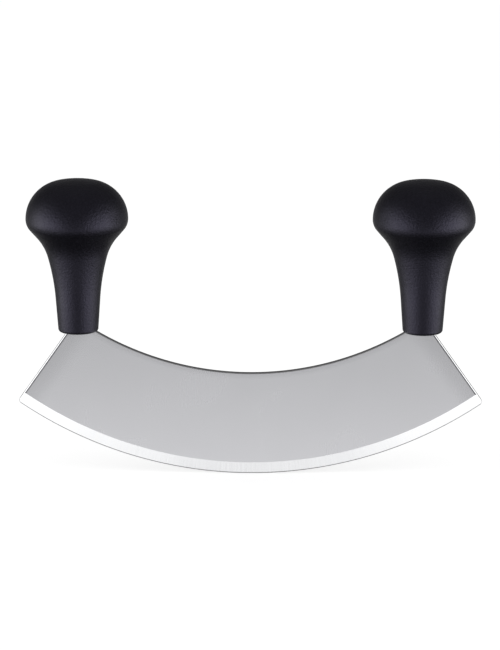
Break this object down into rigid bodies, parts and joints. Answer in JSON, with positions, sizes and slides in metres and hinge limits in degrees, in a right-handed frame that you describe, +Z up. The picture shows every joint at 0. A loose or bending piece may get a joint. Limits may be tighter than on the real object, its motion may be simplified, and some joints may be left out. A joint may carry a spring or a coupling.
{
  "type": "mezzaluna",
  "caption": "Single-blade mezzaluna: a satin steel crescent chopping blade with a ground edge, and an upright black knob handle moulded on each end.",
  "frame": {"origin": "lowest point of the cutting edge, in the middle of the blade's length and thickness", "axes": "+X from the left tip to the right tip, +Y through the blade away from the viewer of the front, +Z up from the cutting edge to the knobs"},
  "size_m": [0.2284, 0.05, 0.1474],
  "materials": {
    "blade_steel": "satin",
    "handle_plastic": "fine matte grain"
  },
  "bodies": {
    "root": {"blade": "blade_steel", "left_handle": "handle_plastic", "right_handle": "handle_plastic"}
  },
  "joints": []
}
